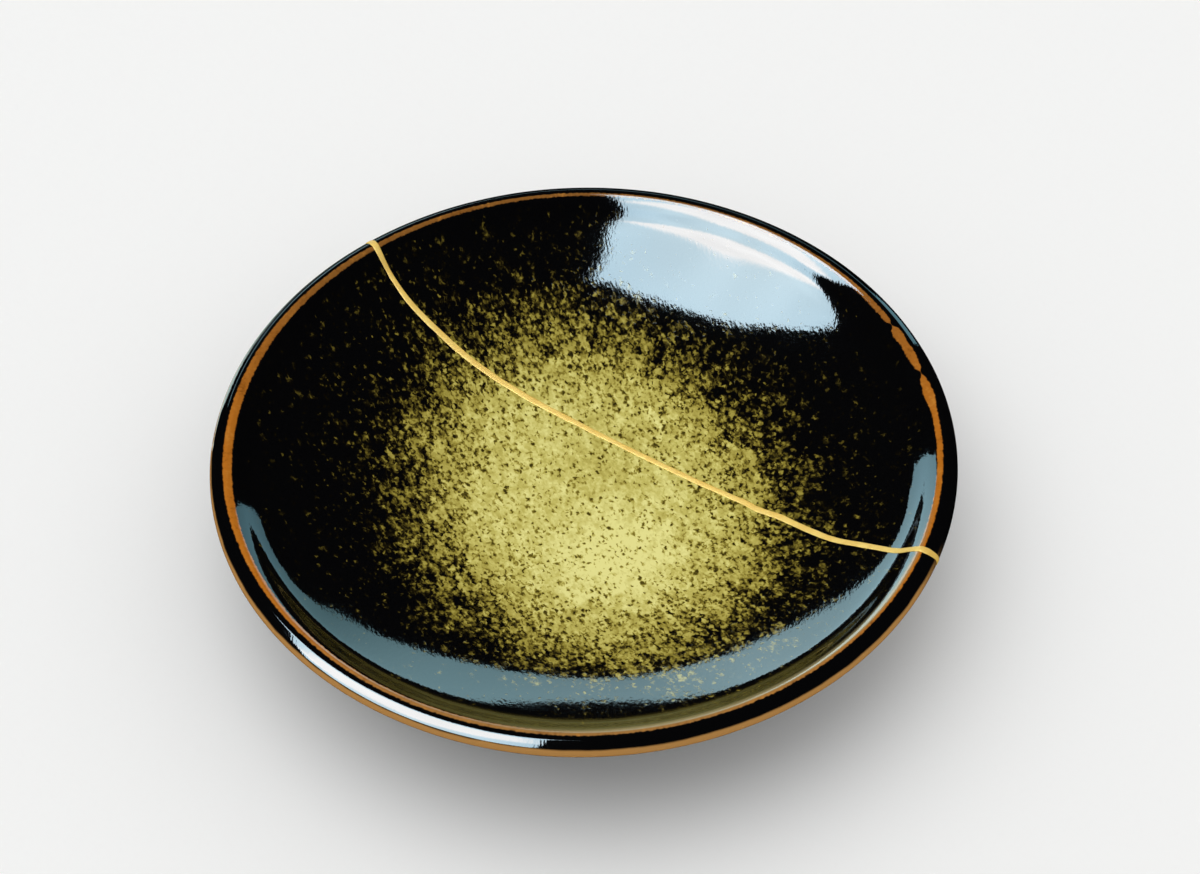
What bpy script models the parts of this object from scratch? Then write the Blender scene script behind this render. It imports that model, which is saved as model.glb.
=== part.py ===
"""A small glazed stoneware plate, mended in gold: a Blender model.

The plate broke in two across its well. One seam of lacquer and gold joins the shards from
rim to rim: it fills the break through the wall, laps over the lip and crosses the foot ring.
Lengths are in metres. The plate's axis is +Z and its foot stands on z = 0.
"""

from collections import namedtuple
from math import cos, radians, sin

import bmesh
import bpy
from mathutils import Vector
from mathutils.geometry import interpolate_bezier

# The plate's driving dimensions.
WIDEST_RADIUS = 0.080
CREST_RADIUS = 0.07645
PLATE_HEIGHT = 0.029
WELL_DEPTH = 0.0211
FLOOR_THICKNESS = 0.005
LIP_THICKNESS = 0.0056
FOOT_RADIUS = 0.0418
FOOT_WIDTH = 0.005
FOOT_CHAMFER = 0.0007

# The seam's width, how far it stands proud of the glaze, and the clearance to each shard.
SEAM_WIDTH = 0.0014
SEAM_RISE = 0.0003
CLEARANCE = 0.0003

# The break's route in plan, from beyond the back left rim to beyond the front right rim.
BREAK_ROUTE = (
    (-0.0540, 0.0680),
    (-0.0490, 0.0620),
    (-0.0450, 0.0560),
    (-0.0400, 0.0495),
    (-0.0330, 0.0432),
    (-0.0250, 0.0367),
    (-0.0140, 0.0292),
    (0.0000, 0.0203),
    (0.0165, 0.0090),
    (0.0330, -0.0032),
    (0.0425, -0.0112),
    (0.0520, -0.0207),
    (0.0580, -0.0252),
    (0.0665, -0.0318),
    (0.0720, -0.0345),
    (0.0800, -0.0385),
)
ROUTE_STEPS = 3
RING_STEPS = 64
SHARP_ANGLE = radians(35)

# The cutters reach past the plate on every side.
CUTTER_REACH = 0.1
CUTTER_HEIGHT = 0.08
MERGE_DISTANCE = 0.00001

# A knot of the turned profile: its place, the outline's heading there in degrees
# (0 outward, 90 up), how far its two handles reach, and the steps to the next knot.
Knot = namedtuple("Knot", "radius z heading reach_in reach_out steps")


def plate_knots():
    """The outline from the well's centre, over the rim, down the wall and around the foot."""
    crest = PLATE_HEIGHT
    ceiling = crest - WELL_DEPTH - FLOOR_THICKNESS
    foot_inner = FOOT_RADIUS - FOOT_WIDTH
    return (
        # The well, the short steep rise below the rim, and the rim's crest.
        Knot(0, crest - WELL_DEPTH, 0, 0, 0.0232, 12),
        Knot(CREST_RADIUS - 0.00895, crest - 0.0061, 27.5, 0.0294, 0.0038, 5),
        Knot(CREST_RADIUS - 0.00315, crest - 0.00213, 43, 0.0025, 0.0017, 5),
        Knot(CREST_RADIUS, crest, 0, 0.0009, 0.0004, 2),
        # The sloping band outside the crest, and the lip's underside.
        Knot(CREST_RADIUS + 0.00085, crest - 0.00015, -25, 0.0003, 0.0007, 2),
        Knot(WIDEST_RADIUS - 0.00065, crest - 0.0014, -38, 0.0007, 0.0003, 3),
        Knot(WIDEST_RADIUS, crest - 0.0023, -90, 0.0004, 0.0010, 4),
        Knot(WIDEST_RADIUS - 0.0032, crest - LIP_THICKNESS, -150, 0.0018, 0.0015, 2),
        # The outer wall, and the foot ring with the recess inside it.
        Knot(WIDEST_RADIUS - 0.0084, crest - 0.0089, -152, 0.0020, 0.0110, 5),
        Knot(FOOT_RADIUS + 0.0022, crest - 0.0209, -163, 0.0110, 0.0007, 3),
        Knot(FOOT_RADIUS + 0.0008, crest - 0.0224, -97, 0.0008, 0, 1),
        Knot(FOOT_RADIUS, FOOT_CHAMFER, -97, 0, 0, 1),
        Knot(FOOT_RADIUS - FOOT_CHAMFER, 0, 180, 0, 0, 1),
        Knot(foot_inner + FOOT_CHAMFER, 0, 180, 0, 0, 1),
        Knot(foot_inner, FOOT_CHAMFER, 97, 0, 0, 1),
        Knot(foot_inner - 0.0002, ceiling - 0.0010, 97, 0, 0.0005, 3),
        Knot(foot_inner - 0.0013, ceiling, 180, 0.0006, 0, 1),
        Knot(0, ceiling, 180, 0, 0, 0),
    )


def along(heading, reach):
    """A vector in the profile's plane."""
    return Vector((cos(radians(heading)), sin(radians(heading)))) * reach


def profile_points(knots):
    """Points (radius, z) of the chain of cubic curves through the knots."""
    points = [Vector((knots[0].radius, knots[0].z))]
    for start, end in zip(knots, knots[1:]):
        first = Vector((start.radius, start.z))
        last = Vector((end.radius, end.z))
        leave = first + along(start.heading, start.reach_out)
        arrive = last - along(end.heading, end.reach_in)
        points += interpolate_bezier(first, leave, arrive, last, start.steps + 1)[1:]
    return points


def break_path(shift):
    """The break as a smooth line in plan, moved sideways by shift (towards the back if positive)."""
    route = [Vector(point) for point in BREAK_ROUTE]
    ends = [2 * route[0] - route[1]] + route + [2 * route[-1] - route[-2]]
    smooth = []
    for before, start, end, after in zip(ends, ends[1:], ends[2:], ends[3:]):
        leave = start + (end - before) / 6
        arrive = end - (after - start) / 6
        smooth += interpolate_bezier(start, leave, arrive, end, ROUTE_STEPS + 1)[:-1]
    smooth.append(route[-1])
    path = []
    for index, point in enumerate(smooth):
        forward = smooth[min(index + 1, len(smooth) - 1)] - smooth[max(index - 1, 0)]
        sideways = Vector((-forward.y, forward.x)).normalized()
        path.append(point + sideways * shift)
    return path


def front_region(shift):
    """The outline of everything in front of the break, with the break moved sideways by shift."""
    path = break_path(shift)
    corners = [(path[-1].x, -CUTTER_REACH), (-CUTTER_REACH, -CUTTER_REACH), (-CUTTER_REACH, path[0].y)]
    return path + corners


def back_region(shift):
    """The outline of everything behind the break, with the break moved sideways by shift."""
    path = break_path(shift)
    corners = [(CUTTER_REACH, path[-1].y), (CUTTER_REACH, CUTTER_REACH), (path[0].x, CUTTER_REACH)]
    return path + corners


def material(name, colour, roughness, metallic):
    """A Principled material of one colour."""
    made = bpy.data.materials.new(name)
    made.use_nodes = True
    shader = made.node_tree.nodes["Principled BSDF"]
    shader.inputs["Base Color"].default_value = (*colour, 1)
    shader.inputs["Roughness"].default_value = roughness
    shader.inputs["Metallic"].default_value = metallic
    made.diffuse_color = (*colour, 1)
    return made


def turned_plate(name, collection):
    """A whole plate, turned about +Z from its profile."""
    points = [(point.x, 0, point.y) for point in profile_points(plate_knots())]
    mesh = bpy.data.meshes.new(name)
    mesh.from_pydata(points, [(i, i + 1) for i in range(len(points) - 1)], [])
    plate = bpy.data.objects.new(name, mesh)
    collection.objects.link(plate)
    screw = plate.modifiers.new("Turn", "SCREW")
    screw.axis = "Z"
    screw.steps = RING_STEPS
    screw.render_steps = RING_STEPS
    screw.use_merge_vertices = True
    screw.merge_threshold = MERGE_DISTANCE
    return plate


def evaluated_mesh(item):
    """A new mesh of the object with its modifiers applied."""
    depsgraph = bpy.context.evaluated_depsgraph_get()
    return bpy.data.meshes.new_from_object(item.evaluated_get(depsgraph))


def prism_cutter(name, outline, low, collection):
    """A hidden cutter: an upright prism over a closed outline, from z = low upwards."""
    curve = bpy.data.curves.new(name, "CURVE")
    curve.dimensions = "2D"
    curve.fill_mode = "BOTH"
    curve.extrude = CUTTER_HEIGHT / 2
    spline = curve.splines.new("POLY")
    spline.points.add(len(outline) - 1)
    for corner, place in zip(spline.points, outline):
        corner.co = (place[0], place[1], 0, 1)
    spline.use_cyclic_u = True
    source = bpy.data.objects.new(name + "_outline", curve)
    collection.objects.link(source)
    mesh = evaluated_mesh(source)
    bpy.data.objects.remove(source)

    shape = bmesh.new()
    shape.from_mesh(mesh)
    bmesh.ops.remove_doubles(shape, verts=shape.verts, dist=MERGE_DISTANCE)
    bmesh.ops.recalc_face_normals(shape, faces=shape.faces)
    shape.to_mesh(mesh)
    shape.free()

    cutter = bpy.data.objects.new(name, mesh)
    cutter.location.z = low + CUTTER_HEIGHT / 2
    cutter.hide_render = True
    cutter.display_type = "WIRE"
    collection.objects.link(cutter)
    return cutter


def cut(piece, cutter, operation):
    """Boolean the cutter into the piece."""
    boolean = piece.modifiers.new(cutter.name, "BOOLEAN")
    boolean.operation = operation
    boolean.solver = "EXACT"
    boolean.object = cutter


def finish(piece, surface):
    """Apply the piece's modifiers, smooth all but its sharp edges and give it its material."""
    bpy.context.view_layer.update()
    piece.data = evaluated_mesh(piece)
    piece.modifiers.clear()
    piece.data.shade_smooth()
    piece.data.set_sharp_from_angle(angle=SHARP_ANGLE)
    piece.data.materials.clear()
    piece.data.materials.append(surface)


def add_shards(parts, cutters):
    """The two shards: the plate, less everything across the break from each."""
    glaze = material("black_glaze", (0.004, 0.004, 0.005), 0.12, 0)
    half_gap = SEAM_WIDTH / 2 + CLEARANCE
    removed = {"front_shard": back_region(-half_gap), "back_shard": front_region(half_gap)}
    for name, outline in removed.items():
        shard = turned_plate(name, parts)
        cut(shard, prism_cutter("across_" + name, outline, -CUTTER_HEIGHT / 4, cutters), "DIFFERENCE")
        finish(shard, glaze)


def add_seam(parts, cutters):
    """The gold seam: an upright slice of a plate grown by the seam's rise."""
    seam = turned_plate("gold_seam", parts)
    grow = seam.modifiers.new("Grow", "DISPLACE")
    grow.mid_level = 0
    grow.strength = SEAM_RISE
    slice_outline = break_path(SEAM_WIDTH / 2) + break_path(-SEAM_WIDTH / 2)[::-1]
    # The slice starts a little above the foot plane, so that the plate rests on its clay.
    cut(seam, prism_cutter("around_seam", slice_outline, SEAM_RISE, cutters), "INTERSECT")
    finish(seam, material("gold", (0.90, 0.60, 0.09), 0.3, 1))


def main():
    """Clear the scene and build the plate."""
    for item in list(bpy.data.objects):
        bpy.data.objects.remove(item)
    parts = bpy.data.collections.new("kintsugi_plate")
    cutters = bpy.data.collections.new("cutters")
    for collection in (parts, cutters):
        bpy.context.scene.collection.children.link(collection)
    add_shards(parts, cutters)
    add_seam(parts, cutters)


main()
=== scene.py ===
"""The looks of a small black-glazed plate, mended with a gold seam.

Two glazed shards and the gold seam between them replace the frame's plain solids. They
follow the frame's own profile and break at a finer step, with a narrow shoulder outside
the crest and a slight droop of the rim at the back left. Everything is in metres, with the
plate's axis on +Z and its foot on z = 0.
"""

from collections import namedtuple
from math import atan2, cos, hypot, pi, radians, sin, tan

import bmesh
import bpy
import numpy as np
from mathutils import Matrix, Vector, noise
from mathutils.geometry import interpolate_bezier


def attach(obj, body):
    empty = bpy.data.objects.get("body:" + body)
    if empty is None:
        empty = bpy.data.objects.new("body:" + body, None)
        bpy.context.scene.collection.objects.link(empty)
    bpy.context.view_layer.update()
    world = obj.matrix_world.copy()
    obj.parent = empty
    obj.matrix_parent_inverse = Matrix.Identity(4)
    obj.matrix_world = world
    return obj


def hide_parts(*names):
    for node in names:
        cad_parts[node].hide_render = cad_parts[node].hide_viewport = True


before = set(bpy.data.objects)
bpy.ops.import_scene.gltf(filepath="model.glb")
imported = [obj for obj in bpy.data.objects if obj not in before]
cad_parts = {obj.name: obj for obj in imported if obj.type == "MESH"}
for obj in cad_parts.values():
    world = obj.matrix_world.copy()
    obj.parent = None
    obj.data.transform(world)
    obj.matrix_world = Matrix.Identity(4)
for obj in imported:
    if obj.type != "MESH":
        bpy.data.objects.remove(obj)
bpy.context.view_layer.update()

# The plate's driving dimensions, as in the frame.
WIDEST_RADIUS = 0.080
CREST_RADIUS = 0.07645
PLATE_HEIGHT = 0.029
WELL_DEPTH = 0.0211
FLOOR_THICKNESS = 0.005
LIP_THICKNESS = 0.0056
FOOT_RADIUS = 0.0418
FOOT_WIDTH = 0.005
FOOT_CHAMFER = 0.0007

# The break's route in plan, from beyond the back left rim to beyond the front right rim.
BREAK_ROUTE = (
    (-0.0540, 0.0680),
    (-0.0490, 0.0620),
    (-0.0450, 0.0560),
    (-0.0400, 0.0495),
    (-0.0330, 0.0432),
    (-0.0250, 0.0367),
    (-0.0140, 0.0292),
    (0.0000, 0.0203),
    (0.0165, 0.0090),
    (0.0330, -0.0032),
    (0.0378, -0.0076),
    (0.0425, -0.0112),
    (0.0520, -0.0207),
    (0.0580, -0.0252),
    (0.0665, -0.0318),
    (0.0720, -0.0345),
    (0.0800, -0.0385),
)

# How finely the shards are built: the profile's steps for each coarse one of the knots, about
# how long they are at most and the fewest for a span, then the steps around the plate and
# between the points of the break's route.
PROFILE_FINENESS = 2.6
PROFILE_STEP = 0.0016
FEWEST_STEPS = 2
RING_STEPS = 384
ROUTE_STEPS = 12
SHARP_ANGLE = radians(60)
MERGE_DISTANCE = 0.000005

# The upright tools that part the shards: how far out they reach, and how tall they are.
CUTTER_REACH = 0.1
CUTTER_HEIGHT = 0.08

# The hand-thrown surface: how far the glaze rises and falls, and over what distances. The
# foot's standing face, up to this height, stays flat.
WAVINESS = ((0.00003, 0.016), (0.000012, 0.006))
FLAT_HEIGHT = 2 * FOOT_CHAMFER

# At the back left the band outside the crest droops a little: the droop at the rim, the
# heading of its middle, how far around the rim it reaches from that, how far outside the
# crest it begins, and over what distance it grows.
DROOP = 0.00046
DROOP_HEADING = radians(150)
DROOP_REACH = radians(60)
DROOP_START = 0.0013
DROOP_GROWTH = 0.0018

# The joint: half the lacquer core between the shards, half the gap it fills, and how far
# the core stays off the ground.
CORE_HALF_WIDTH = 0.00035
HALF_GAP = 0.00042
CORE_FLOOR = 0.0004

# The gold bead over the joint: its rise above the glaze, how deep its underside sits and how
# wide that is against the top, its step along the joint, how far it stays off the ground,
# and the sides and fullness of its dome.
BEAD_RISE = 0.00014
BEAD_SINK = 0.0003
BEAD_UNDERSIDE = 0.8
BEAD_STEP = 0.0004
BEAD_FLOOR = 0.00008
BEAD_SIDES = 10
BEAD_FULLNESS = 0.5
# The uneven hand and brush: noise as (share, length) pairs, and how far it moves the bead's
# middle and changes its width and rise, as shares of them.
BRUSH_WOBBLE = ((1.0, 0.0045), (0.45, 0.0016))
MIDDLE_WOBBLE = 0.05
WIDTH_WOBBLE = 0.10
RISE_WOBBLE = 0.25
# The joint's line steps along the break up to this many times the break's least radius, and
# along the profile beyond it. Its facing is evened out a few times over.
TURNING_SHARE = 1.35
FACING_ROUNDS = 3
# The bead's width where it faces up by more than this, by the distance right of the axis.
BEAD_TOP_FACING = 0.3
BEAD_WIDTHS = (
    (-0.0540, 0.0018),
    (-0.0480, 0.0016),
    (-0.0445, 0.0011),
    (-0.0400, 0.0014),
    (-0.0300, 0.00155),
    (-0.0100, 0.00145),
    (0.0050, 0.00125),
    (0.0320, 0.0013),
    (0.0380, 0.0015),
    (0.0450, 0.0015),
    (0.0560, 0.00135),
    (0.0660, 0.0014),
    (0.0700, 0.0016),
    (0.0740, 0.0010),
)
BEAD_WIDTH_BELOW = 0.0014

# A knot of the turned profile: its place, the outline's heading there in degrees
# (0 outward, 90 up), how far its two handles reach, and the coarse steps to the next knot.
Knot = namedtuple("Knot", "radius z heading reach_in reach_out steps")


def plate_knots():
    """The outline from the well's centre, over the rim, down the wall and around the foot."""
    crest = PLATE_HEIGHT
    ceiling = crest - WELL_DEPTH - FLOOR_THICKNESS
    foot_inner = FOOT_RADIUS - FOOT_WIDTH
    return (
        # The well, the short steep rise below the rim, and the rim's crest.
        Knot(0, crest - WELL_DEPTH, 0, 0, 0.0232, 12),
        Knot(CREST_RADIUS - 0.00895, crest - 0.0061, 27.5, 0.0294, 0.0038, 5),
        Knot(CREST_RADIUS - 0.00315, crest - 0.00213, 43, 0.0025, 0.0011, 4),
        Knot(CREST_RADIUS - 0.00065, crest - 0.000215, 29, 0.0007, 0.00027, 2),
        Knot(CREST_RADIUS, crest, 0, 0.00025, 0.0004, 2),
        # The shoulder, the sloping band outside it, and the lip's underside.
        Knot(CREST_RADIUS + 0.00133, crest - 0.00020, -13.5, 0.0003, 0.00004, 2),
        Knot(CREST_RADIUS + 0.00149, crest - 0.00026, -27, 0.00004, 0.0003, 2),
        Knot(WIDEST_RADIUS - 0.00120, crest - 0.00070, -28, 0.0003, 0.0002, 2),
        Knot(WIDEST_RADIUS - 0.00060, crest - 0.00106, -33, 0.0002, 0.0003, 2),
        Knot(WIDEST_RADIUS, crest - 0.0023, -90, 0.0004, 0.0010, 4),
        Knot(WIDEST_RADIUS - 0.0032, crest - LIP_THICKNESS, -150, 0.0018, 0.0015, 2),
        # The outer wall, and the foot ring with the recess inside it.
        Knot(WIDEST_RADIUS - 0.0084, crest - 0.0089, -152, 0.0020, 0.0110, 5),
        Knot(FOOT_RADIUS + 0.0022, crest - 0.0209, -163, 0.0110, 0.0007, 3),
        Knot(FOOT_RADIUS + 0.0008, crest - 0.0224, -97, 0.0008, 0, 1),
        Knot(FOOT_RADIUS, FOOT_CHAMFER, -97, 0, 0, 1),
        Knot(FOOT_RADIUS - FOOT_CHAMFER, 0, 180, 0, 0, 1),
        Knot(foot_inner + FOOT_CHAMFER, 0, 180, 0, 0, 1),
        Knot(foot_inner, FOOT_CHAMFER, 97, 0, 0, 1),
        Knot(foot_inner - 0.0002, ceiling - 0.0010, 97, 0, 0.0005, 3),
        Knot(foot_inner - 0.0013, ceiling, 180, 0.0006, 0, 1),
        Knot(0, ceiling, 180, 0, 0, 0),
    )


def along(heading, reach):
    """A vector in the profile's plane."""
    return Vector((cos(radians(heading)), sin(radians(heading)))) * reach


def fine_steps(start, end):
    """How many steps a span of the outline takes here: the straight ones get plenty too."""
    length = (Vector((end.radius, end.z)) - Vector((start.radius, start.z))).length
    return max(round(start.steps * PROFILE_FINENESS), round(length / PROFILE_STEP), FEWEST_STEPS)


def profile_points(knots):
    """Points (radius, z) of the chain of cubic curves through the knots."""
    points = [Vector((knots[0].radius, knots[0].z))]
    for start, end in zip(knots, knots[1:]):
        first = Vector((start.radius, start.z))
        last = Vector((end.radius, end.z))
        leave = first + along(start.heading, start.reach_out)
        arrive = last - along(end.heading, end.reach_in)
        points += interpolate_bezier(first, leave, arrive, last, fine_steps(start, end) + 1)[1:]
    return points


PROFILE = profile_points(plate_knots())
WIDEST = max(range(len(PROFILE)), key=lambda index: PROFILE[index].x)


def profile_normals():
    """The outward normals of the profile at its points."""
    normals = []
    for index in range(len(PROFILE)):
        ahead = PROFILE[min(index + 1, len(PROFILE) - 1)]
        behind = PROFILE[max(index - 1, 0)]
        run = (ahead - behind).normalized()
        normals.append(Vector((-run.y, run.x)))
    return normals


# --------------------------------------------------------------------------- the break

def break_path(shift=0.0):
    """The break as a smooth line in plan, moved sideways by shift, to the back if positive."""
    route = [Vector(point) for point in BREAK_ROUTE]
    ends = [2 * route[0] - route[1]] + route + [2 * route[-1] - route[-2]]
    smooth = []
    for before, start, end, after in zip(ends, ends[1:], ends[2:], ends[3:]):
        leave = start + (end - before) / 6
        arrive = end - (after - start) / 6
        smooth += interpolate_bezier(start, leave, arrive, end, ROUTE_STEPS + 1)[:-1]
    smooth.append(route[-1])
    path = []
    for index, point in enumerate(smooth):
        forward = smooth[min(index + 1, len(smooth) - 1)] - smooth[max(index - 1, 0)]
        sideways = Vector((-forward.y, forward.x)).normalized()
        path.append(point + sideways * shift)
    return path


def front_region(shift):
    """The outline of everything in front of the break, with the break moved sideways by shift."""
    path = break_path(shift)
    return path + [(path[-1].x, -CUTTER_REACH), (-CUTTER_REACH, -CUTTER_REACH),
                   (-CUTTER_REACH, path[0].y)]


def back_region(shift):
    """The outline of everything behind the break, with the break moved sideways by shift."""
    path = break_path(shift)
    return path + [(CUTTER_REACH, path[-1].y), (CUTTER_REACH, CUTTER_REACH),
                   (path[0].x, CUTTER_REACH)]


# --------------------------------------------------------------------------- meshes

def link(item):
    """Put an object in the scene."""
    bpy.context.scene.collection.objects.link(item)
    return item


def waviness(place):
    """How far the glaze stands off the true turned surface at a place."""
    return sum(height * noise.noise(place / span) for height, span in WAVINESS)


def droop(place):
    """How far the rim's outer band hangs below the true turned surface at a place."""
    away = abs(atan2(place[1], place[0]) - DROOP_HEADING) / DROOP_REACH
    outward = (hypot(place[0], place[1]) - CREST_RADIUS - DROOP_START) / DROOP_GROWTH
    if away > 1 or outward < 0:
        return 0.0
    return DROOP * cos(away * pi / 2) ** 2 * min(outward, 1.0)


def turned_mesh(name, wavy):
    """A closed mesh of the drooping profile turned about +Z, a little uneven if wavy."""
    shape = bmesh.new()
    rings = []
    for point in PROFILE:
        if point.x < MERGE_DISTANCE:
            rings.append([shape.verts.new((0, 0, point.y))])
            continue
        ring = []
        for step in range(RING_STEPS):
            turn = 2 * pi * step / RING_STEPS
            ring.append(shape.verts.new((point.x * cos(turn), point.x * sin(turn), point.y)))
        rings.append(ring)
    for inner, outer in zip(rings, rings[1:]):
        for step in range(RING_STEPS):
            after = (step + 1) % RING_STEPS
            if len(inner) == 1:
                shape.faces.new((inner[0], outer[step], outer[after]))
            elif len(outer) == 1:
                shape.faces.new((inner[step], outer[0], inner[after]))
            else:
                shape.faces.new((inner[step], outer[step], outer[after], inner[after]))
    shape.normal_update()
    moves = [vert.normal * waviness(vert.co) if wavy else Vector() for vert in shape.verts]
    for vert, move in zip(shape.verts, moves):
        if vert.co.z > FLAT_HEIGHT:
            vert.co += move
            vert.co.z -= droop(vert.co)
    mesh = bpy.data.meshes.new(name)
    shape.to_mesh(mesh)
    shape.free()
    return mesh


def evaluated_mesh(item):
    """A new mesh of the object with its modifiers applied."""
    bpy.context.view_layer.update()
    depsgraph = bpy.context.evaluated_depsgraph_get()
    return bpy.data.meshes.new_from_object(item.evaluated_get(depsgraph))


def prism(name, outline, low):
    """An upright prism over a closed outline, from z = low upwards."""
    curve = bpy.data.curves.new(name, "CURVE")
    curve.dimensions = "2D"
    curve.fill_mode = "BOTH"
    curve.extrude = CUTTER_HEIGHT / 2
    spline = curve.splines.new("POLY")
    spline.points.add(len(outline) - 1)
    for corner, place in zip(spline.points, outline):
        corner.co = (place[0], place[1], 0, 1)
    spline.use_cyclic_u = True
    source = link(bpy.data.objects.new(name + "_outline", curve))
    mesh = evaluated_mesh(source)
    bpy.data.objects.remove(source)

    shape = bmesh.new()
    shape.from_mesh(mesh)
    bmesh.ops.remove_doubles(shape, verts=shape.verts, dist=MERGE_DISTANCE)
    bmesh.ops.recalc_face_normals(shape, faces=shape.faces)
    shape.to_mesh(mesh)
    shape.free()
    cutter = link(bpy.data.objects.new(name, mesh))
    cutter.location.z = low + CUTTER_HEIGHT / 2
    return cutter


def combine(piece, tool, operation):
    """Boolean the tool into the piece, and remove the tool."""
    boolean = piece.modifiers.new(tool.name, "BOOLEAN")
    boolean.operation = operation
    boolean.solver = "EXACT"
    boolean.object = tool
    piece.data = evaluated_mesh(piece)
    piece.modifiers.clear()
    bpy.data.objects.remove(tool)


def smooth(piece):
    """Smooth shading, but for the sharp edges."""
    piece.data.shade_smooth()
    piece.data.set_sharp_from_angle(angle=SHARP_ANGLE)


# --------------------------------------------------------------------------- the seam's bead

def interpolate(table, place):
    """A value between the rows (place, value) of a table."""
    return float(np.interp(place, [row[0] for row in table], [row[1] for row in table]))


def surface_loop():
    """The closed line where the break meets the plate's surface: points and outward normals.

    It runs over the well from left to right, down around the right rim, back along the
    underside and up around the left rim.
    """
    path = np.array([tuple(point) for point in break_path()])
    radii = np.hypot(path[:, 0], path[:, 1])
    nearest = int(radii.argmin())
    normals = profile_normals()
    outer = [i for i, point in enumerate(PROFILE) if point.x > radii[nearest] * TURNING_SHARE]
    inner_top = outer[0]
    inner_below = outer[-1]

    def place(x, y, z, normal):
        """The point and outward normal over a place in plan."""
        turn = atan2(y, x)
        spot = Vector((x, y, z - droop((x, y))))
        return spot, Vector((normal.x * cos(turn), normal.x * sin(turn), normal.y))

    def on_side(index, right):
        """The loop's point at a profile point, on the right or left of the break's middle."""
        radius = PROFILE[index].x
        part = path[nearest:] if right else path[nearest::-1]
        reach = radii[nearest:] if right else radii[nearest::-1]
        x = np.interp(radius, reach, part[:, 0])
        y = np.interp(radius, reach, part[:, 1])
        return place(x, y, PROFILE[index].y, normals[index])

    def middle(upper):
        """The loop's points across the middle of the well, or of the underside."""
        indices = range(0, WIDEST) if upper else range(len(PROFILE) - 1, WIDEST, -1)
        reach = [PROFILE[i].x for i in indices]
        limit = PROFILE[inner_top if upper else inner_below].x
        row = []
        for (x, y), radius in zip(path, radii):
            if radius < limit:
                z = np.interp(radius, reach, [PROFILE[i].y for i in indices])
                out = np.interp(radius, reach, [normals[i].x for i in indices])
                up = np.interp(radius, reach, [normals[i].y for i in indices])
                row.append(place(x, y, z, Vector((out, up))))
        return row

    outward = [on_side(index, True) for index in range(inner_top, inner_below + 1)]
    inward = [on_side(index, False) for index in range(inner_below, inner_top - 1, -1)]
    return middle(True) + outward + middle(False)[::-1] + inward


def resample(loop, step):
    """The closed loop's points, normals and distances at even steps of about the length."""
    places = np.array([tuple(place) for place, _ in loop + loop[:1]])
    normals = np.array([tuple(normal) for _, normal in loop + loop[:1]])
    reach = np.concatenate([[0], np.cumsum(np.linalg.norm(np.diff(places, axis=0), axis=1))])
    count = round(reach[-1] / step)
    spots = np.arange(count) * reach[-1] / count
    even = np.stack([np.interp(spots, reach, places[:, axis]) for axis in range(3)], axis=1)
    facing = np.stack([np.interp(spots, reach, normals[:, axis]) for axis in range(3)], axis=1)
    for _ in range(FACING_ROUNDS):
        facing = (np.roll(facing, 1, axis=0) + 2 * facing + np.roll(facing, -1, axis=0)) / 4
    facing /= np.linalg.norm(facing, axis=1, keepdims=True)
    return even, facing, spots


def brush_wobble(spot, seed):
    """The uneven edge that a hand and brush leave, about -1 to 1."""
    wobble = 0
    for layer, (share, length) in enumerate(BRUSH_WOBBLE):
        wobble += share * noise.noise(Vector((spot / length, seed, 5 * layer)))
    return wobble


def bead_section(width):
    """The bead's cross-section as (sideways, up) pairs: a low dome over a sunk underside."""
    half = width / 2
    dome = []
    for side in range(BEAD_SIDES + 1):
        turn = pi * side / BEAD_SIDES
        dome.append((half * cos(turn), BEAD_RISE * sin(turn) ** BEAD_FULLNESS))
    low = BEAD_UNDERSIDE * half
    return dome + [(-low, -BEAD_SINK), (low, -BEAD_SINK)]


def add_bead():
    """The gold bead: a low dome swept along the whole loop."""
    places, facing, spots = resample(surface_loop(), BEAD_STEP)
    forward = np.roll(places, -1, axis=0) - np.roll(places, 1, axis=0)
    forward /= np.linalg.norm(forward, axis=1, keepdims=True)
    sideways = np.cross(facing, forward)
    sideways /= np.linalg.norm(sideways, axis=1, keepdims=True)

    shape = bmesh.new()
    sections = []
    for place, up, side, spot in zip(places, facing, sideways, spots):
        on_top = up[2] > BEAD_TOP_FACING
        width = interpolate(BEAD_WIDTHS, place[0]) if on_top else BEAD_WIDTH_BELOW
        centre = MIDDLE_WOBBLE * width * brush_wobble(spot, 1)
        width *= 1 + WIDTH_WOBBLE * brush_wobble(spot, 2)
        rise = 1 + RISE_WOBBLE * brush_wobble(spot, 3)
        section = []
        for across, height in bead_section(width):
            height *= rise if height > 0 else 1
            corner = Vector(place + side * (across + centre) + up * height)
            corner.z = max(corner.z, BEAD_FLOOR)
            section.append(shape.verts.new(corner))
        sections.append(section)
    for section, after in zip(sections, sections[1:] + sections[:1]):
        for index in range(len(section)):
            beside = (index + 1) % len(section)
            shape.faces.new((section[index], section[beside], after[beside], after[index]))
    bmesh.ops.recalc_face_normals(shape, faces=shape.faces)
    mesh = bpy.data.meshes.new("gold_bead")
    shape.to_mesh(mesh)
    shape.free()
    return link(bpy.data.objects.new("gold_bead", mesh))


# --------------------------------------------------------------------------- materials

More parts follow.
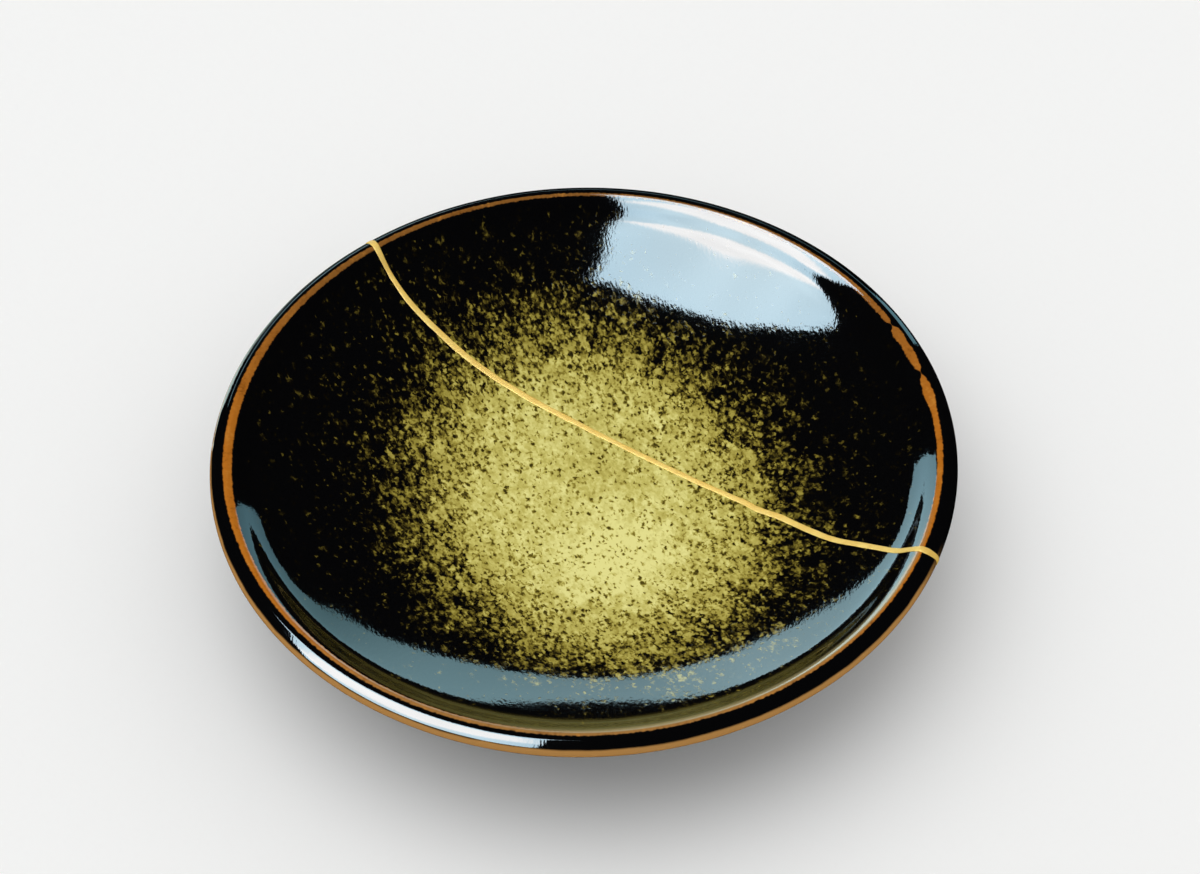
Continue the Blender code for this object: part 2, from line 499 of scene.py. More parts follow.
class Shading:
    """A material's node tree, built up by short calls. Values may be sockets or numbers."""

    def __init__(self, name):
        self.material = bpy.data.materials.new(name)
        self.material.use_nodes = True
        self.tree = self.material.node_tree
        self.shader = self.tree.nodes["Principled BSDF"]
        coordinates = self.tree.nodes.new("ShaderNodeTexCoord")
        self.place = coordinates.outputs["Object"]

    def put(self, socket, value):
        """Link a socket to the input, or set the input's own value."""
        if isinstance(value, bpy.types.NodeSocket):
            self.tree.links.new(value, socket)
        elif isinstance(value, tuple) and len(value) == 3 and socket.type == "RGBA":
            socket.default_value = (*value, 1)
        else:
            socket.default_value = value

    def set(self, **values):
        """Set or link the shader's own inputs, by name with _ for a space."""
        for name, value in values.items():
            self.put(self.shader.inputs[name.replace("_", " ")], value)

    def math(self, operation, first, second=0.0, third=0.0):
        node = self.tree.nodes.new("ShaderNodeMath")
        node.operation = operation
        for socket, value in zip(node.inputs, (first, second, third)):
            self.put(socket, value)
        return node.outputs[0]

    def vector(self, operation, first, second=(0, 0, 0)):
        node = self.tree.nodes.new("ShaderNodeVectorMath")
        node.operation = operation
        self.put(node.inputs[0], first)
        self.put(node.inputs[1], second)
        return node.outputs["Value" if operation in ("LENGTH", "DOT_PRODUCT") else "Vector"]

    def weighted(self, start, *terms):
        """The start plus each (value, weight) term's value times its weight."""
        for value, weight in terms:
            start = self.math("MULTIPLY_ADD", value, weight, start)
        return start

    def noise_node(self, vector, size, detail, roughness):
        """A noise texture with features of the given size."""
        node = self.tree.nodes.new("ShaderNodeTexNoise")
        self.put(node.inputs["Vector"], vector)
        node.inputs["Scale"].default_value = 1 / size
        node.inputs["Detail"].default_value = detail
        node.inputs["Roughness"].default_value = roughness
        return node

    def noise(self, vector, size, detail=2.0, roughness=0.5):
        """Fractal noise, about 0 to 1, with features of the given size."""
        return self.noise_node(vector, size, detail, roughness).outputs["Fac"]

    def jostled(self, vector, size, amount):
        """Coordinates pushed about in plan by noise of the given size."""
        push = self.noise_node(vector, size, 1.0, 0.5).outputs["Color"]
        push = self.vector("SUBTRACT", push, (0.5, 0.5, 0.5))
        push = self.vector("MULTIPLY", push, (amount, amount, 0))
        return self.vector("ADD", vector, push)

    def cells(self, vector, size):
        """Random cells: how far the nearest centre is in cell sizes, and a number for each."""
        node = self.tree.nodes.new("ShaderNodeTexVoronoi")
        self.put(node.inputs["Vector"], vector)
        node.inputs["Scale"].default_value = 1 / size
        separate = self.tree.nodes.new("ShaderNodeSeparateColor")
        self.put(separate.inputs[0], node.outputs["Color"])
        return node.outputs["Distance"], separate.outputs[0]

    def between(self, value, low, high, bottom=0.0, top=1.0, smooth=True):
        """Remap a value from low..high to bottom..top, held at the ends."""
        node = self.tree.nodes.new("ShaderNodeMapRange")
        node.interpolation_type = "SMOOTHSTEP" if smooth else "LINEAR"
        node.clamp = True
        for name, number in (("Value", value), ("From Min", low), ("From Max", high),
                             ("To Min", bottom), ("To Max", top)):
            self.put(node.inputs[name], number)
        return node.outputs["Result"]

    def mix(self, share, first, second):
        """The first colour, with the second one's share mixed in."""
        node = self.tree.nodes.new("ShaderNodeMix")
        node.data_type = "RGBA"
        self.put(node.inputs[0], share)
        self.put(node.inputs[6], first)
        self.put(node.inputs[7], second)
        return node.outputs[2]

    def parts(self, vector):
        """The three parts of a vector."""
        node = self.tree.nodes.new("ShaderNodeSeparateXYZ")
        self.put(node.inputs[0], vector)
        return node.outputs[0], node.outputs[1], node.outputs[2]

    def angle_from(self, azimuth, degrees):
        """How far an azimuth lies from one in degrees, either way round, in radians."""
        away = self.math("SUBTRACT", azimuth, radians(degrees))
        return self.math("ABSOLUTE", self.math("WRAP", away, pi, -pi))

    def turned(self, vector, centre, turn, scale):
        """Coordinates from a centre, turned so that the first runs along the turn's heading."""
        node = self.tree.nodes.new("ShaderNodeMapping")
        node.vector_type = "TEXTURE"
        self.put(node.inputs["Vector"], vector)
        node.inputs["Location"].default_value = centre
        node.inputs["Rotation"].default_value = (0, 0, turn)
        node.inputs["Scale"].default_value = scale
        return node.outputs[0]

    def ramp(self, value, stops):
        """A colour ramp of (place, screen colour) stops."""
        node = self.tree.nodes.new("ShaderNodeValToRGB")
        self.put(node.inputs[0], value)
        elements = node.color_ramp.elements
        elements.remove(elements[1])
        elements[0].position = stops[0][0]
        elements[0].color = (*srgb(*stops[0][1]), 1)
        for place, colour in stops[1:]:
            elements.new(place).color = (*srgb(*colour), 1)
        return node.outputs[0]

    def bump(self, height, distance):
        """A normal tilted by a height map whose full height is the distance."""
        node = self.tree.nodes.new("ShaderNodeBump")
        node.inputs["Strength"].default_value = 1.0
        node.inputs["Distance"].default_value = distance
        self.put(node.inputs["Height"], height)
        return node.outputs[0]


def srgb(red, green, blue):
    """A screen colour, 0 to 255, as linear light."""
    def linear(value):
        value /= 255
        return value / 12.92 if value <= 0.04045 else ((value + 0.055) / 1.055) ** 2.4
    return linear(red), linear(green), linear(blue)


# The sprayed patch: its middle, the heading of its long axis, and how far its edge lies.
SPRAY_CENTRE = (0.0018, -0.0024, 0)
SPRAY_HEADING = radians(111)
SPRAY_LONG = 0.0487
SPRAY_SHORT = 0.0370
# A painted sheen, where the patch is lightest, and the duller stretch along the seam.
SHEEN_CENTRE = (0.006, -0.017, 0)
SHEEN_REACH = 0.021
DULL_CENTRE = (0.005, 0.011, 0)
DULL_REACH = 0.019

# Only the well is sprayed: what lies inside these radii, and above the middle of the wall,
# which is level in the floor and slopes outside it.
SPRAYED_RADII = (0.0745, 0.0735)
WALL_MIDDLE_SLOPE = 0.435
WALL_MIDDLE_DROP = 0.0085
FLOOR_MIDDLE = 0.0055
WALL_MIDDLE_EDGE = 0.0004

# How far the drops are drawn out along the patch, and how far and over what distances they
# are pushed about.
SPRAY_STRETCH = 1.5
JOSTLE = 0.0011
JOSTLE_SIZE = 0.0008

# The drops, and the pinholes that show the glaze between them: the cell's size, how far the
# drops' sizes spread, and an offset that keeps the kinds apart.
SPRAY_DROPS = ((0.0009, 0.35, 0.1), (0.0016, 0.35, 0.2), (0.0025, 0.30, 0.3))
SPRAY_HOLES = ((0.0007, 0.35, 0.4), (0.0012, 0.35, 0.5))

# The patch's unevenness comes in four sizes, and its edge moves out to make up for that.
SPRAY_FINE_SIZE = 0.0008
SPRAY_CLUMP_SIZE = 0.0024
SPRAY_BROAD_SIZE = 0.005
SPRAY_WIDE_SIZE = 0.016
SPRAY_GROWTH = 0.70

# The spray's thickness by the distance out, as (slope, start): it falls quickly over the
# patch, and slowly where only single drops lie. Then between what values a drop's edge lies.
SPRAY_THINNING = ((-1.38, 1.57), (-0.37, 0.34))
DROP_EDGE = (0.13, 0.87)

# The pinholes open between these distances out, by this much. Then between what values a
# hole's edge lies, and how much still covers the glaze outside and inside it.
HOLE_DISTANCES = (0.25, 1.0)
HOLE_OPENINGS = (-0.04, 0.24)
HOLE_EDGE = (-0.8, -0.22)
HOLE_COVERS = (1.0, 0.28)

# The patch's lightness falls between these distances out, from and to these values.
LIGHT_DISTANCES = (0.3, 1.3)
LIGHT_LEVELS = (0.72, 0.30)

# The patch's colour by its lightness, from bare glaze to the thickest spray.
SPRAY_COLOURS = (
    (0.00, (6, 6, 7)),
    (0.06, (13, 10, 5)),
    (0.17, (44, 38, 14)),
    (0.30, (79, 69, 24)),
    (0.44, (112, 99, 36)),
    (0.58, (144, 131, 52)),
    (0.72, (174, 161, 76)),
    (0.85, (203, 193, 104)),
    (1.00, (234, 228, 146)),
)

RUST = srgb(182, 108, 30)
RUST_FAR = srgb(134, 88, 38)
RUST_NEAR = srgb(158, 112, 58)
RUST_DARK = srgb(104, 54, 10)
RUST_PALE = srgb(200, 134, 54)
RUST_EDGE = srgb(190, 140, 78)
# The painted highlight's pale cream, reflected light painted into the crest's colour.
PAINTED_HIGHLIGHT = srgb(158, 146, 104)
CLAY = srgb(118, 84, 58)
CLAY_DARK = srgb(82, 56, 38)
GOLD = srgb(230, 194, 90)
GOLD_DEEP = srgb(222, 180, 72)

# The rust line over the crest: its middle, how much further out that is at the front, its
# half width with its unevenness, and how soft its edge is. Then the places where it swells,
# the far side where it narrows and, at the right, the two places where it thins away, as
# azimuths in degrees with their reach.
RUST_RADIUS = 0.07604
RUST_FRONT_SHIFT = 0.00016
RUST_HALF_WIDTH = 0.00062
RUST_UNEVENNESS = 0.0006
RUST_SOFTNESS = (-0.00012, 0.00016)
RUST_SWELLINGS = (
    (7.6, 4.2, 0.00050), (17.2, 4.0, 0.00035), (21.6, 2.6, 0.00045), (180, 50, 0.00032),
    (85, 65, -0.00026),
)
RUST_PINCHES = ((12.3, 1.4), (24.1, 1.3))
PINCH_CORE = radians(0.1)

# Where the rust changes, as distances beyond the axis: the line moves out at the front, and
# the colour is duller at the far side and at the front. Then between what tones it is dark
# or pale and by how much, and between what radii the lower edge's own colour takes over.
RUST_SHIFT_PLACES = (-0.045, -0.070)
RUST_FAR_PLACES = (-0.01, 0.06)
RUST_NEAR_PLACES = (-0.035, -0.075)
RUST_DARK_TONES = (0.30, 0.48)
RUST_PALE_TONES = (0.52, 0.72)
RUST_TONE_SHARE = 0.6
RUST_EDGE_RADII = (0.0780, 0.0790)

# The colours of the crest start between these heights.
CREST_HEIGHTS = (0.0265, 0.0272)

# The rust on the rim's lower edge: where it starts, outward and upward, how far its inner
# side wanders, how strong it is, and the azimuth in degrees around which it is missing, with
# how far from that it starts again and is full.
EDGE_RADII = (0.07950, 0.07985)
EDGE_HEIGHTS = (0.0258, 0.0264)
EDGE_WANDER = 0.0003
EDGE_STRENGTH = 0.85
EDGE_GAP = 10
EDGE_GAP_REACH = (radians(32), radians(44))

# A painted highlight inside the rust at the front right, pale reflected light painted into the
# colour: between which radii it comes and goes, its strength, and its azimuth in degrees with
# where it starts to fade and is gone.
HIGHLIGHT_INSIDE = (0.0744, 0.0756)
HIGHLIGHT_OUTSIDE = (0.0760, 0.0764)
HIGHLIGHT_STRENGTH = 0.8
HIGHLIGHT_AZIMUTH = -62
HIGHLIGHT_REACH = (radians(20), radians(50))

# The bare clay of the foot ends between these heights, and wanders by this much.
CLAY_HEIGHTS = (0.0016, 0.0018)
CLAY_WANDER = 0.0008

# The sizes of the noises in the rust, the clay and the glaze's streaky peel.
FINE_SIZE = 0.0009
WANDER_SIZE = 0.006
GRAIN_SIZE = 0.0009
PEEL_SIZE = 0.0010
PEEL_STRETCH = (0.6, 1.5, 1)

# The glaze's gloss, the roughness that the spray, rust and clay add to it, and the reliefs
# of the peel, the spray and the clay's grit, as shares of one height.
GLAZE_IOR = 1.5
GLAZE_ROUGHNESS = (0.028, 0.042)
SPRAY_ROUGHNESS = 0.05
RUST_ROUGHNESS = 0.03
CLAY_ROUGHNESS = 0.75
PEEL_RELIEF = 0.8
SPRAY_RELIEF = 0.30
GRIT_RELIEF = 12.0
RELIEF_HEIGHT = 0.000012

# The gold powder: the sizes of its tone and grains, its roughness, sheen of metal and relief.
GOLD_TONE_SIZE = 0.0035
GOLD_GRAIN_SIZE = 0.00022
GOLD_ROUGHNESS = (0.5, 0.62)
GOLD_METALLIC = 0.1
GOLD_RELIEF = 0.000006


def drops(shading, vector, kinds):
    """Drops of random size: above zero inside the largest, falling by one in a cell's width."""
    found = None
    for size, spread, offset in kinds:
        moved = shading.vector("ADD", vector, (offset, 2 * offset, offset))
        distance, chance = shading.cells(moved, size)
        biggest = shading.math("MULTIPLY_ADD", chance, 2 * spread, -spread)
        drop = shading.math("SUBTRACT", biggest, distance)
        found = shading.math("MAXIMUM", found, drop) if found else drop
    return found


def around(shading, flat, centre, reach):
    """One at the centre, falling smoothly to nothing at the reach."""
    away = shading.turned(flat, centre, 0, (reach, reach, 1))
    return shading.between(shading.vector("LENGTH", away), 0, 1, 1.0, 0.0)


def spray_pattern(shading, flat):
    """The sprayed patch: its lightness with a painted sheen, from 0 on bare glaze to 1, and how
    much it covers.
    """
    space = shading.jostled(flat, JOSTLE_SIZE, JOSTLE)
    space = shading.turned(space, (0, 0, 0), SPRAY_HEADING, (SPRAY_STRETCH, 1, 1))
    fine = shading.noise(space, SPRAY_FINE_SIZE, 1, 0.6)
    clump = shading.noise(space, SPRAY_CLUMP_SIZE, 1)
    broad = shading.noise(flat, SPRAY_BROAD_SIZE, 2)
    wide = shading.noise(flat, SPRAY_WIDE_SIZE, 1)
    # A painted sheen near the front of the patch: it lightens the spray there and draws its edge
    # further out.
    glow = around(shading, flat, SHEEN_CENTRE, SHEEN_REACH)
    dull = around(shading, flat, DULL_CENTRE, DULL_REACH)

    # How far out a place is, with the patch's edge near one: the edge wanders.
    reach = shading.turned(flat, SPRAY_CENTRE, SPRAY_HEADING, (SPRAY_LONG, SPRAY_SHORT, 1))
    reach = shading.weighted(shading.vector("LENGTH", reach), (wide, 0.35), (broad, 0.40),
                             (glow, -0.16), (dull, 0.10), (clump, 0.30))
    reach = shading.math("SUBTRACT", reach, SPRAY_GROWTH)

    # Drops of three sizes grow and merge as the spray thickens.
    drop = shading.math("ADD", drops(shading, space, SPRAY_DROPS), fine)
    thick = shading.math("MAXIMUM", *(shading.math("MULTIPLY_ADD", reach, slope, start)
                                      for slope, start in SPRAY_THINNING))
    cover = shading.between(shading.math("ADD", drop, thick), *DROP_EDGE)

    # Pinholes of two sizes show the glaze through the patch.
    hole = shading.math("SUBTRACT", drops(shading, space, SPRAY_HOLES), fine)
    opening = shading.between(reach, *HOLE_DISTANCES, *HOLE_OPENINGS, smooth=False)
    kept = shading.between(shading.math("ADD", hole, opening), *HOLE_EDGE, *HOLE_COVERS)
    cover = shading.math("MULTIPLY", cover, kept)

    # The spray is lightest where it is thickest, and a painted sheen lightens it more near the
    # front.
    light = shading.between(reach, *LIGHT_DISTANCES, *LIGHT_LEVELS)
    light = shading.weighted(light, (fine, 0.32), (clump, -0.28), (broad, 0.30),
                             (glow, 0.15), (dull, -0.05))
    return shading.math("MULTIPLY", light, cover), cover


def rust_line(shading, radius, azimuth, y, uneven):
    """How rusty a place near the crest is, from 0 to 1."""
    half = shading.math("MULTIPLY_ADD", uneven, RUST_UNEVENNESS,
                        RUST_HALF_WIDTH - RUST_UNEVENNESS / 2)
    for middle, reach, growth in RUST_SWELLINGS:
        away = shading.angle_from(azimuth, middle)
        swell = shading.between(away, 0, radians(reach), growth, 0.0)
        half = shading.math("ADD", half, swell)
    for middle, reach in RUST_PINCHES:
        away = shading.angle_from(azimuth, middle)
        half = shading.math("MULTIPLY", half, shading.between(away, PINCH_CORE, radians(reach)))
    centre = shading.between(y, *RUST_SHIFT_PLACES, RUST_RADIUS, RUST_RADIUS + RUST_FRONT_SHIFT)
    away = shading.math("ABSOLUTE", shading.math("SUBTRACT", radius, centre))
    return shading.between(shading.math("SUBTRACT", half, away), *RUST_SOFTNESS)


def well_share(shading, radius, z):
    """One in the well, where the spray lies, and nothing over the rim and below the wall."""
    middle = shading.math("MULTIPLY_ADD", radius, WALL_MIDDLE_SLOPE, -WALL_MIDDLE_DROP)
    above = shading.math("SUBTRACT", z, shading.math("MAXIMUM", middle, FLOOR_MIDDLE))
    return shading.math("MULTIPLY",
                        shading.between(above, 0, WALL_MIDDLE_EDGE),
                        shading.between(radius, *SPRAYED_RADII))


def lower_edge(shading, radius, azimuth, z, wander):
    """How rusty a place near the rim's lower edge is, from 0 to 1."""
    wandering = shading.math("MULTIPLY_ADD", wander, EDGE_WANDER, radius)
    edge = shading.math("MULTIPLY",
                        shading.between(wandering, *EDGE_RADII),
                        shading.between(z, *EDGE_HEIGHTS))
    away = shading.angle_from(azimuth, EDGE_GAP)
    kept = shading.between(away, *EDGE_GAP_REACH, 0.0, EDGE_STRENGTH)
    return shading.math("MULTIPLY", edge, kept)


def rust_colour(shading, y, radius, fine, wander):
    """Rust, duller at the far side and the front, darker and paler in places."""
    rust = shading.mix(shading.between(y, *RUST_FAR_PLACES), RUST, RUST_FAR)
    rust = shading.mix(shading.between(y, *RUST_NEAR_PLACES), rust, RUST_NEAR)
    tone = shading.math("MULTIPLY_ADD", wander, 0.5, shading.math("MULTIPLY", fine, 0.5))
    dark = shading.between(tone, *RUST_DARK_TONES, RUST_TONE_SHARE, 0.0)
    rust = shading.mix(dark, rust, RUST_DARK)
    pale = shading.between(tone, *RUST_PALE_TONES, 0.0, RUST_TONE_SHARE)
    rust = shading.mix(pale, rust, RUST_PALE)
    return shading.mix(shading.between(radius, *RUST_EDGE_RADII), rust, RUST_EDGE)


def painted_highlight(shading, radius, azimuth):
    """How much painted highlight lies along the inner side of the rust at the front right."""
    highlight = shading.math("MULTIPLY",
                        shading.between(radius, *HIGHLIGHT_INSIDE),
                        shading.between(radius, *HIGHLIGHT_OUTSIDE, 1.0, 0.0))
    away = shading.angle_from(azimuth, HIGHLIGHT_AZIMUTH)
    return shading.math("MULTIPLY", highlight, shading.between(away, *HIGHLIGHT_REACH, HIGHLIGHT_STRENGTH, 0.0))


def glaze_material():
    """Black glaze with its sprayed patch, rusty crest and edge, and bare foot, with a painted
    sheen on the patch and a painted highlight on the crest.
    """
    shading = Shading("black_glaze")
    x, y, z = shading.parts(shading.place)
    flat = shading.vector("MULTIPLY", shading.place, (1, 1, 0))
    radius = shading.vector("LENGTH", flat)
    azimuth = shading.math("ARCTAN2", y, x)
    on_crest = shading.between(z, *CREST_HEIGHTS)
    fine = shading.noise(shading.place, FINE_SIZE, 2, 0.6)
    wander = shading.noise(shading.place, WANDER_SIZE, 2)
    grain = shading.noise(shading.place, GRAIN_SIZE, 5, 0.7)

    lightness, cover = spray_pattern(shading, flat)
    sprayed = well_share(shading, radius, z)
    lightness = shading.math("MULTIPLY", lightness, sprayed)
    cover = shading.math("MULTIPLY", cover, sprayed)
    colour = shading.ramp(lightness, SPRAY_COLOURS)

    # The glaze runs thin and rusty over the crest and over the rim's lower edge.
    crest = shading.math("MULTIPLY", rust_line(shading, radius, azimuth, y, fine), on_crest)
    worn = shading.math("MAXIMUM", crest, lower_edge(shading, radius, azimuth, z, wander))
    colour = shading.mix(worn, colour, rust_colour(shading, y, radius, fine, wander))
    # A painted highlight: pale reflected light painted over the crest at the front right.
    highlight = shading.math("MULTIPLY", painted_highlight(shading, radius, azimuth), on_crest)
    colour = shading.mix(highlight, colour, PAINTED_HIGHLIGHT)

    # The foot's standing face is bare clay.
    clay_level = shading.math("MULTIPLY_ADD", wander, CLAY_WANDER, z)
    bare = shading.between(clay_level, *CLAY_HEIGHTS, 1.0, 0.0)
    clay = shading.mix(shading.between(grain, 0.35, 0.65), CLAY_DARK, CLAY)
    colour = shading.mix(bare, colour, clay)

    # The spray, the rust and above all the clay are rougher than the bare glaze.
    rough = shading.between(wander, 0.3, 0.7, *GLAZE_ROUGHNESS)
    rough = shading.weighted(rough, (cover, SPRAY_ROUGHNESS), (worn, RUST_ROUGHNESS),
                             (bare, CLAY_ROUGHNESS))

    # The glaze is a little streaky, the spray stands a little proud, and the clay is gritty.
    streaked = shading.turned(shading.place, (0, 0, 0), 0, PEEL_STRETCH)
    peel = shading.noise(streaked, PEEL_SIZE, 2, 0.5)
    grit = shading.math("MULTIPLY", shading.math("SUBTRACT", grain, 0.5), bare)
    height = shading.math("MULTIPLY", peel, PEEL_RELIEF)
    height = shading.weighted(height, (cover, SPRAY_RELIEF), (grit, GRIT_RELIEF))
    shading.set(Base_Color=colour, Roughness=rough, IOR=GLAZE_IOR,
                Normal=shading.bump(height, RELIEF_HEIGHT))
    return shading.material


def gold_material():
    """Gold powder laid on lacquer: matt and pale, a little uneven."""
    shading = Shading("gold")
    tone = shading.noise(shading.place, GOLD_TONE_SIZE, 4, 0.6)
    powder = shading.noise(shading.place, GOLD_GRAIN_SIZE, 2, 0.6)
    colour = shading.mix(shading.between(tone, 0.35, 0.65), GOLD_DEEP, GOLD)
    rough = shading.between(powder, 0.3, 0.7, *GOLD_ROUGHNESS)
    shading.set(Base_Color=colour, Roughness=rough, Metallic=GOLD_METALLIC,
                Normal=shading.bump(powder, GOLD_RELIEF))
    return shading.material


# --------------------------------------------------------------------------- the pieces

def add_shard(name, whole, removed, surface):
    """One shard: the whole plate, less everything across the break from it."""
    shard = link(bpy.data.objects.new(name + "_glazed", whole.copy()))
    combine(shard, prism("across_" + name, removed, -CUTTER_HEIGHT / 4), "DIFFERENCE")
    shard.data.materials.clear()
    shard.data.materials.append(surface)
    smooth(shard)
    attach(shard, "root")
    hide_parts(name)


def add_seam():
    """The gold seam: the bead around the plate and the core between the broken faces."""
    bead = add_bead()
    core = link(bpy.data.objects.new("seam_core", turned_mesh("seam_core", wavy=False)))
    outline = break_path(CORE_HALF_WIDTH) + break_path(-CORE_HALF_WIDTH)[::-1]
    combine(core, prism("around_core", outline, CORE_FLOOR), "INTERSECT")
    combine(bead, core, "UNION")
    bead.name = "gold_seam_bead"
    bead.data.materials.clear()
    bead.data.materials.append(gold_material())
    smooth(bead)
    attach(bead, "root")
    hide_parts("gold_seam")


# --------------------------------------------------------------------------- the studio

# The camera looks down on the crest's plane from the front.
AIM_HEIGHT = PLATE_HEIGHT - 0.00008
CAMERA_DISTANCE = 0.4717
CAMERA_ELEVATION = radians(48.62)
CAMERA_ROLL = radians(-1.12)
CAMERA_YAW = radians(-0.43)
CAMERA_PITCH = radians(-0.0625)
LENS = 66
SENSOR = 36

# A large softbox high on the left, as its plan where it is one unit above the plate. Its
# lamp shows through as a brighter patch, and the rest dims away from a centre near that.
SOFTBOX_HEIGHT = 1.6
SOFTBOX_PLAN = (
    (-0.028, -0.008), (-0.665, 0.37), (-1.07, 0.065), (-1.27, -0.17), (-1.02, -0.62),
    (-0.275, -0.93), (-0.23, -0.75), (-0.127, -0.38), (-0.087, -0.19), (-0.066, -0.08),
)
SOFTBOX_GLOW = (8.8, 13.8, 17.3)
SOFTBOX_NEAR_GLOW = (14.5, 18.0, 19.6)
SOFTBOX_GLARE = (22, 22, 22)
SOFTBOX_CENTRE = (-0.6, -0.2, 0)
SOFTBOX_REACH = 1.1
SOFTBOX_CLOUD_SIZE = 0.3
SOFTBOX_CLOUD = (0.94, 1.06)
LAMP_PLAN = ((-1.14, -0.12), (-0.61, -0.46), (-0.16, -0.44), (-0.36, 0.00), (-1.12, 0.01))
LAMP_EDGE = 0.05

# A low pale screen beyond the plate, and a strip below its left half, both seen only in
# reflections, where the floor does not hide them: outlines as (azimuth, elevation) in
# degrees from the plate, with 0 straight beyond and the right positive, and glows by azimuth.
SCREEN_DISTANCE = 2.0
SCREEN_OUTLINE = (
    (31.5, 1.3), (35.5, 3), (35.5, 6), (34.5, 12), (32, 17.5), (25, 14.7), (17, 15.3), (13, 13.6),
    (4, 11.5), (-3, 10.3), (-8, 11.8), (-14, 14), (-20, 16.5), (-29, 18), (-34, 21), (-40, 20.5),
    (-40.5, 17), (-43, 12), (-43, 8), (-36.5, 4.8), (-30, 3.2), (-26, 3), (-19, 0.6), (-12, -1),
    (-8, 1.5), (-3, 3), (24, 3),
)
SCREEN_GLOWS = (
    (-40, (2.1, 3.7, 4.35)),
    (-22, (2.6, 4.2, 4.75)),
    (-10, (2.35, 3.6, 4.0)),
    (-2, (1.65, 2.65, 2.95)),
    (8, (1.4, 2.45, 2.75)),
    (18, (0.82, 1.6, 1.8)),
    (30, (0.75, 1.55, 1.85)),
)
STRIP_OUTLINE = (
    (-6, -16), (-10, -18.5), (-15, -21), (-19, -21), (-24, -18.5), (-30, -13.5), (-38, -6.3),
    (-41.5, -2), (-46, -7), (-47, -20), (-38, -26), (-30, -32), (-20, -38), (-6, -44),
)
STRIP_GLOWS = (
    (-40, (2.3, 2.9, 2.75)),
    (-30, (0.95, 1.2, 1.1)),
    (-20, (0.3, 0.38, 0.32)),
    (-10, (0.08, 0.1, 0.07)),
)

KEY_STRENGTH = 0.85
KEY_ANGLE = radians(70)
KEY_DIRECTION = (-0.35, 0.15, 1.0)
FILL_STRENGTH = 0.75
FLOOR_REACH = 4.0
FLOOR_COLOUR = srgb(243, 243, 242)
FLOOR_ROUGHNESS = 0.9
FLOOR_SPECULAR = 0.1
BACKDROP = srgb(243, 243, 243)


def add_camera():
    """The camera in front of the plate, looking down on it."""
    data = bpy.data.cameras.new("camera")
    data.lens = LENS
    data.sensor_width = SENSOR
    data.dof.use_dof = False
    camera = link(bpy.data.objects.new("camera", data))
    aim = Vector((0, 0, AIM_HEIGHT))
    offset = Vector((0, -cos(CAMERA_ELEVATION), sin(CAMERA_ELEVATION)))
    look = Matrix.Rotation(pi / 2 - CAMERA_ELEVATION, 4, "X")
    trim = (Matrix.Rotation(CAMERA_ROLL, 4, "Z") @ Matrix.Rotation(CAMERA_YAW, 4, "Y")
            @ Matrix.Rotation(CAMERA_PITCH, 4, "X"))
    camera.matrix_world = Matrix.Translation(aim + offset * CAMERA_DISTANCE) @ look @ trim
    bpy.context.scene.camera = camera


def glowing(name):
    """The shading of a surface that only gives light."""
    shading = Shading(name)
    shading.set(Base_Color=(0, 0, 0), Specular_IOR_Level=0.0, Roughness=1.0)
    return shading


def reflected_panel(name, corners, material):
    """A flat glowing panel that shows only in reflections."""
    mesh = bpy.data.meshes.new(name)
    mesh.from_pydata(corners, [], [tuple(range(len(corners)))])
    mesh.materials.append(material)
    panel = link(bpy.data.objects.new(name, mesh))
    panel.visible_camera = False
    panel.visible_diffuse = False
    panel.visible_shadow = False
    return panel


def inside(shading, flat, outline, edge):
    """One inside a convex outline given anticlockwise, falling to nothing across its edge."""
    share = 1.0
    for start, end in zip(outline, outline[1:] + outline[:1]):
        side = (Vector(end) - Vector(start)).normalized()
        offset = shading.vector("SUBTRACT", flat, (*start, 0))
        depth = shading.vector("DOT_PRODUCT", offset, (-side.y, side.x, 0))
        share = shading.math("MULTIPLY", shading.between(depth, -edge, edge), share)
    return share


def add_softbox():
    """The large softbox, with its lamp showing through, bluer and dimmer away from that."""
    shading = glowing("softbox")
    flat = shading.turned(shading.place, (0, 0, 0), 0, (SOFTBOX_HEIGHT, SOFTBOX_HEIGHT, 1))
    near = around(shading, flat, SOFTBOX_CENTRE, SOFTBOX_REACH)
    glow = shading.mix(near, SOFTBOX_GLOW, SOFTBOX_NEAR_GLOW)
    glow = shading.mix(inside(shading, flat, LAMP_PLAN, LAMP_EDGE), glow, SOFTBOX_GLARE)
    cloud = shading.noise(flat, SOFTBOX_CLOUD_SIZE, 1)
    cloud = shading.between(cloud, 0.3, 0.7, *SOFTBOX_CLOUD)
    shading.set(Emission_Color=glow, Emission_Strength=cloud)
    corners = [(x * SOFTBOX_HEIGHT, y * SOFTBOX_HEIGHT, 0) for x, y in SOFTBOX_PLAN]
    panel = reflected_panel("softbox", corners, shading.material)
    panel.location.z = SOFTBOX_HEIGHT + PLATE_HEIGHT


def add_screen(name, outline, glows):
    """A low pale screen beyond the plate, its glow changing from left to right."""
    shading = glowing(name)
    across, beyond, _ = shading.parts(shading.place)
    heading = shading.math("ARCTAN2", across, beyond)
    glow = glows[0][1]
    for (start, _), (end, colour) in zip(glows, glows[1:]):
        glow = shading.mix(shading.between(heading, radians(start), radians(end)), glow, colour)
    shading.set(Emission_Color=glow, Emission_Strength=1.0)
    corners = []
    for azimuth, elevation in outline:
        x = SCREEN_DISTANCE * tan(radians(azimuth))
        z = SCREEN_DISTANCE * tan(radians(elevation)) / cos(radians(azimuth))
        corners.append((x, SCREEN_DISTANCE, z))
    reflected_panel(name, corners, shading.material)


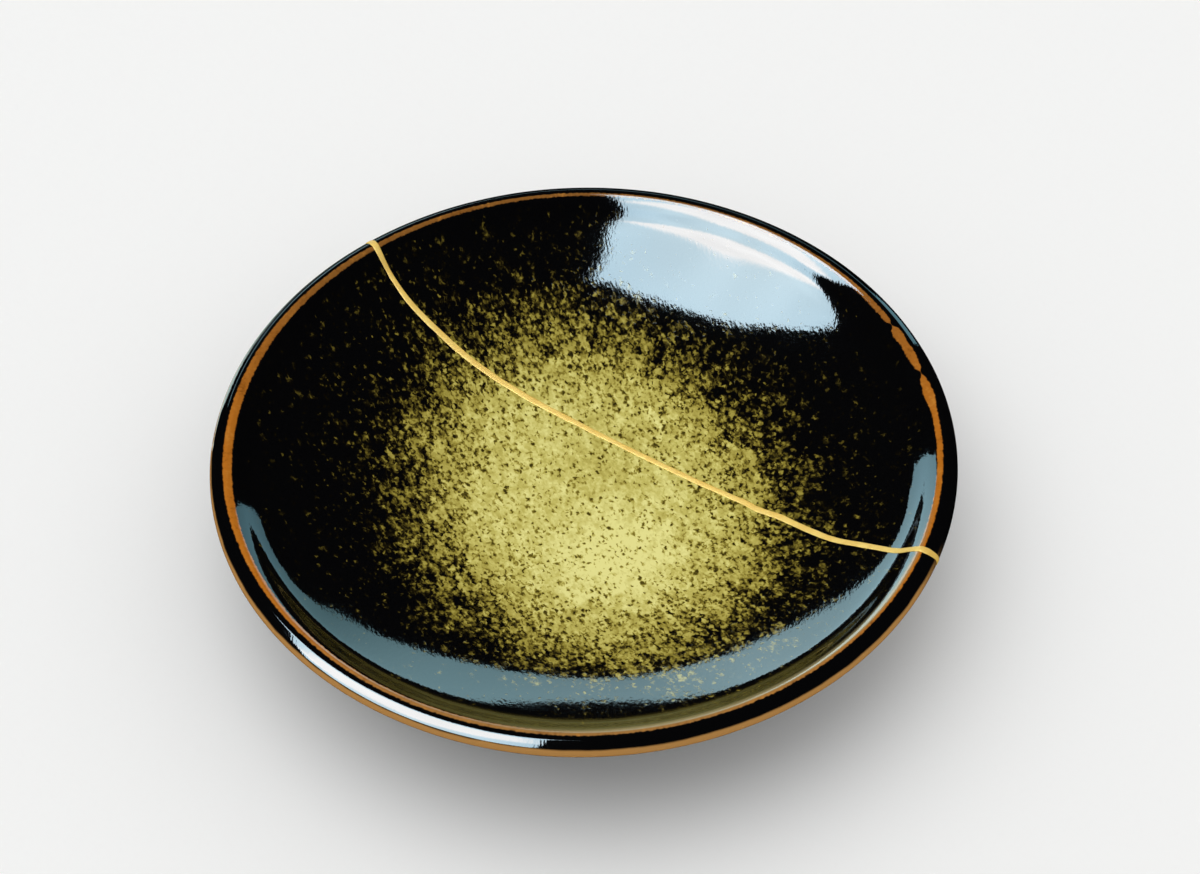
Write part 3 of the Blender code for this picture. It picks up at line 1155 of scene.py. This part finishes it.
def add_key():
    """The soft light that the matt colours and the floor are seen by."""
    data = bpy.data.lights.new("key", "SUN")
    data.energy = KEY_STRENGTH
    data.angle = KEY_ANGLE
    key = link(bpy.data.objects.new("key", data))
    key.rotation_euler = Vector(KEY_DIRECTION).to_track_quat("Z", "Y").to_euler()
    key.visible_glossy = False


def add_floor():
    """A plain pale floor."""
    mesh = bpy.data.meshes.new("floor")
    square = ((-1, -1), (1, -1), (1, 1), (-1, 1))
    corners = [(x * FLOOR_REACH, y * FLOOR_REACH, 0) for x, y in square]
    mesh.from_pydata(corners, [], [(0, 1, 2, 3)])
    material = bpy.data.materials.new("floor")
    material.use_nodes = True
    shader = material.node_tree.nodes["Principled BSDF"]
    shader.inputs["Base Color"].default_value = (*FLOOR_COLOUR, 1)
    shader.inputs["Roughness"].default_value = FLOOR_ROUGHNESS
    shader.inputs["Specular IOR Level"].default_value = FLOOR_SPECULAR
    mesh.materials.append(material)
    floor = link(bpy.data.objects.new("floor", mesh))
    floor.visible_glossy = False


def add_world():
    """A pale room for the camera, and an even fill that does not show in reflections."""
    world = bpy.data.worlds.new("studio")
    world.use_nodes = True
    bpy.context.scene.world = world
    tree = world.node_tree
    background = tree.nodes["Background"]
    path = tree.nodes.new("ShaderNodeLightPath")
    mix = tree.nodes.new("ShaderNodeMix")
    mix.data_type = "RGBA"
    tree.links.new(path.outputs["Is Camera Ray"], mix.inputs[0])
    mix.inputs[6].default_value = (FILL_STRENGTH, FILL_STRENGTH, FILL_STRENGTH, 1)
    mix.inputs[7].default_value = (*BACKDROP, 1)
    tree.links.new(mix.outputs[2], background.inputs["Color"])
    world.cycles_visibility.glossy = False
    bpy.context.scene.view_settings.view_transform = "Standard"


def main():
    """Build the plate and its studio."""
    glaze = glaze_material()
    whole = turned_mesh("whole_plate", wavy=True)
    add_shard("front_shard", whole, back_region(-HALF_GAP), glaze)
    add_shard("back_shard", whole, front_region(HALF_GAP), glaze)
    add_seam()
    add_camera()
    add_softbox()
    add_screen("screen", SCREEN_OUTLINE, SCREEN_GLOWS)
    add_screen("strip", STRIP_OUTLINE, STRIP_GLOWS)
    add_key()
    add_floor()
    add_world()


main()
